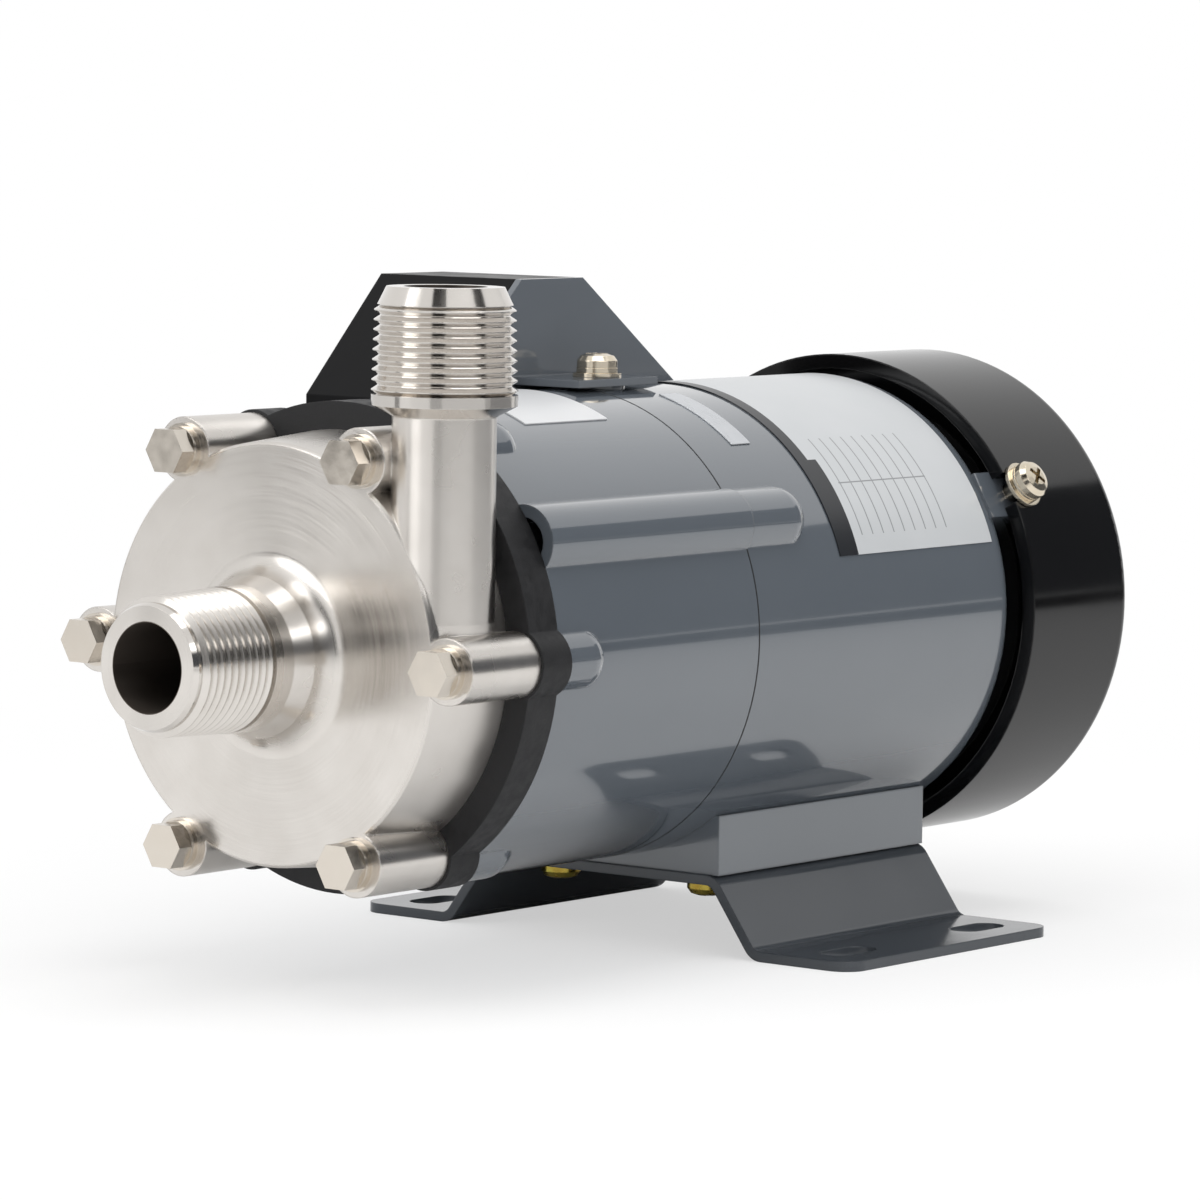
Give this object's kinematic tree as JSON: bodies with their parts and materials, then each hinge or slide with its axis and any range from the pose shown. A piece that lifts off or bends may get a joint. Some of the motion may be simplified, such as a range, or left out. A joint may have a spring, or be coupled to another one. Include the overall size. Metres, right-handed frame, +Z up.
{
  "type": "magnetic drive pump",
  "caption": "Magnetic drive centrifugal pump: stainless head with threaded inlet and tangential outlet on a fan-cooled capacitor motor, on a slotted bent-sheet base.",
  "frame": {"origin": "centre of the four base slots, on the underside of the feet", "axes": "+X along the shaft from the suction port towards the fan cover, -Y the discharge side, +Z up"},
  "size_m": [0.246, 0.1234, 0.133],
  "materials": {
    "stainless": "turned and bead-blasted stainless",
    "black_moulding": "matt, slightly mottled",
    "pump_plastic": "matt",
    "seal_rubber": "matt",
    "ceramic": "polished",
    "carbon": "satin",
    "magnet": "dull",
    "grey_enamel": "gloss grey enamel on a casting",
    "grey_sheet": "gloss grey enamel",
    "bright_alloy": "machined",
    "motor_steel": "bare steel",
    "bearing_steel": "ground",
    "rotor_aluminium": "cast",
    "copper": "enamelled wire",
    "fan_plastic": "matt",
    "gloss_black": "gloss",
    "black_plastic": "satin",
    "nickel": "bright plated",
    "yellow_zinc": "yellow passivated",
    "lead_insulation": "satin",
    "white_label": "satin print film",
    "silver_label": "satin foil"
  },
  "bodies": {
    "pump_body": {"base_plate": "grey_sheet", "base_screws": "yellow_zinc", "base_washers": "yellow_zinc", "box_cover_screws": "nickel", "box_flange_screw": "nickel", "box_flange_spring_washer": "nickel", "box_flange_washer": "nickel", "bracket_screws": "motor_steel", "cable_gland_body": "black_plastic", "cable_gland_dome": "black_plastic", "cable_gland_locknut": "black_plastic", "capacitor": "black_plastic", "casing_o_ring": "seal_rubber", "cover_flat_washers": "nickel", "cover_screws": "nickel", "cover_spring_washers": "nickel", "fan_cover": "gloss_black", "front_bearing_outer_race": "bearing_steel", "front_bracket": "grey_enamel", "front_casing": "stainless", "front_thrust_ring": "ceramic", "head_bolts": "stainless", "head_flat_washers": "stainless", "head_spring_washers": "stainless", "motor_housing": "grey_enamel", "motor_leads": "lead_insulation", "notice_label": "white_label", "preload_spring": "motor_steel", "rating_label": "white_label", "rear_bearing_outer_race": "bearing_steel", "rear_casing": "black_moulding", "rear_thrust_ring": "ceramic", "serial_label": "silver_label", "spindle": "ceramic", "stator_core": "motor_steel", "stator_windings": "copper", "terminal_block": "black_plastic", "terminal_box_bracket": "grey_sheet", "terminal_box_cover": "black_plastic", "terminal_screws": "nickel"},
    "motor_rotor": {"motor_shaft": "motor_steel", "rotor_core": "motor_steel", "rotor_cage": "rotor_aluminium", "drive_cup": "bright_alloy", "drive_magnets": "magnet", "hub_set_screw": "motor_steel", "cooling_fan": "fan_plastic", "fan_clip": "motor_steel", "front_bearing_inner_race": "bearing_steel", "rear_bearing_inner_race": "bearing_steel"},
    "impeller_rotor": {"impeller": "pump_plastic", "impeller_magnet": "magnet", "magnet_cap": "pump_plastic", "impeller_bush": "carbon"},
    "front_ball_set": {"front_bearing_balls": "bearing_steel", "front_bearing_cage": "bearing_steel"},
    "rear_ball_set": {"rear_bearing_balls": "bearing_steel", "rear_bearing_cage": "bearing_steel"}
  },
  "joints": [
    {"name": "motor_spin", "type": "hinge", "parent": "pump_body", "child": "motor_rotor", "pos_m": [0, 0, 0.064], "axis": [1, 0, 0], "continuous": true},
    {"name": "impeller_spin", "type": "hinge", "parent": "pump_body", "child": "impeller_rotor", "pos_m": [-0.095, 0, 0.064], "axis": [1, 0, 0], "continuous": true},
    {"name": "front_ball_spin", "type": "hinge", "parent": "pump_body", "child": "front_ball_set", "pos_m": [-0.05, 0, 0.064], "axis": [1, 0, 0], "continuous": true},
    {"name": "rear_ball_spin", "type": "hinge", "parent": "pump_body", "child": "rear_ball_set", "pos_m": [0.0333, 0, 0.064], "axis": [1, 0, 0], "continuous": true}
  ],
  "couplings": [
    {"joint": "impeller_spin", "follows": "motor_spin", "ratio": 1},
    {"joint": "front_ball_spin", "follows": "motor_spin", "ratio": 0.36364},
    {"joint": "rear_ball_spin", "follows": "motor_spin", "ratio": 0.36364}
  ]
}
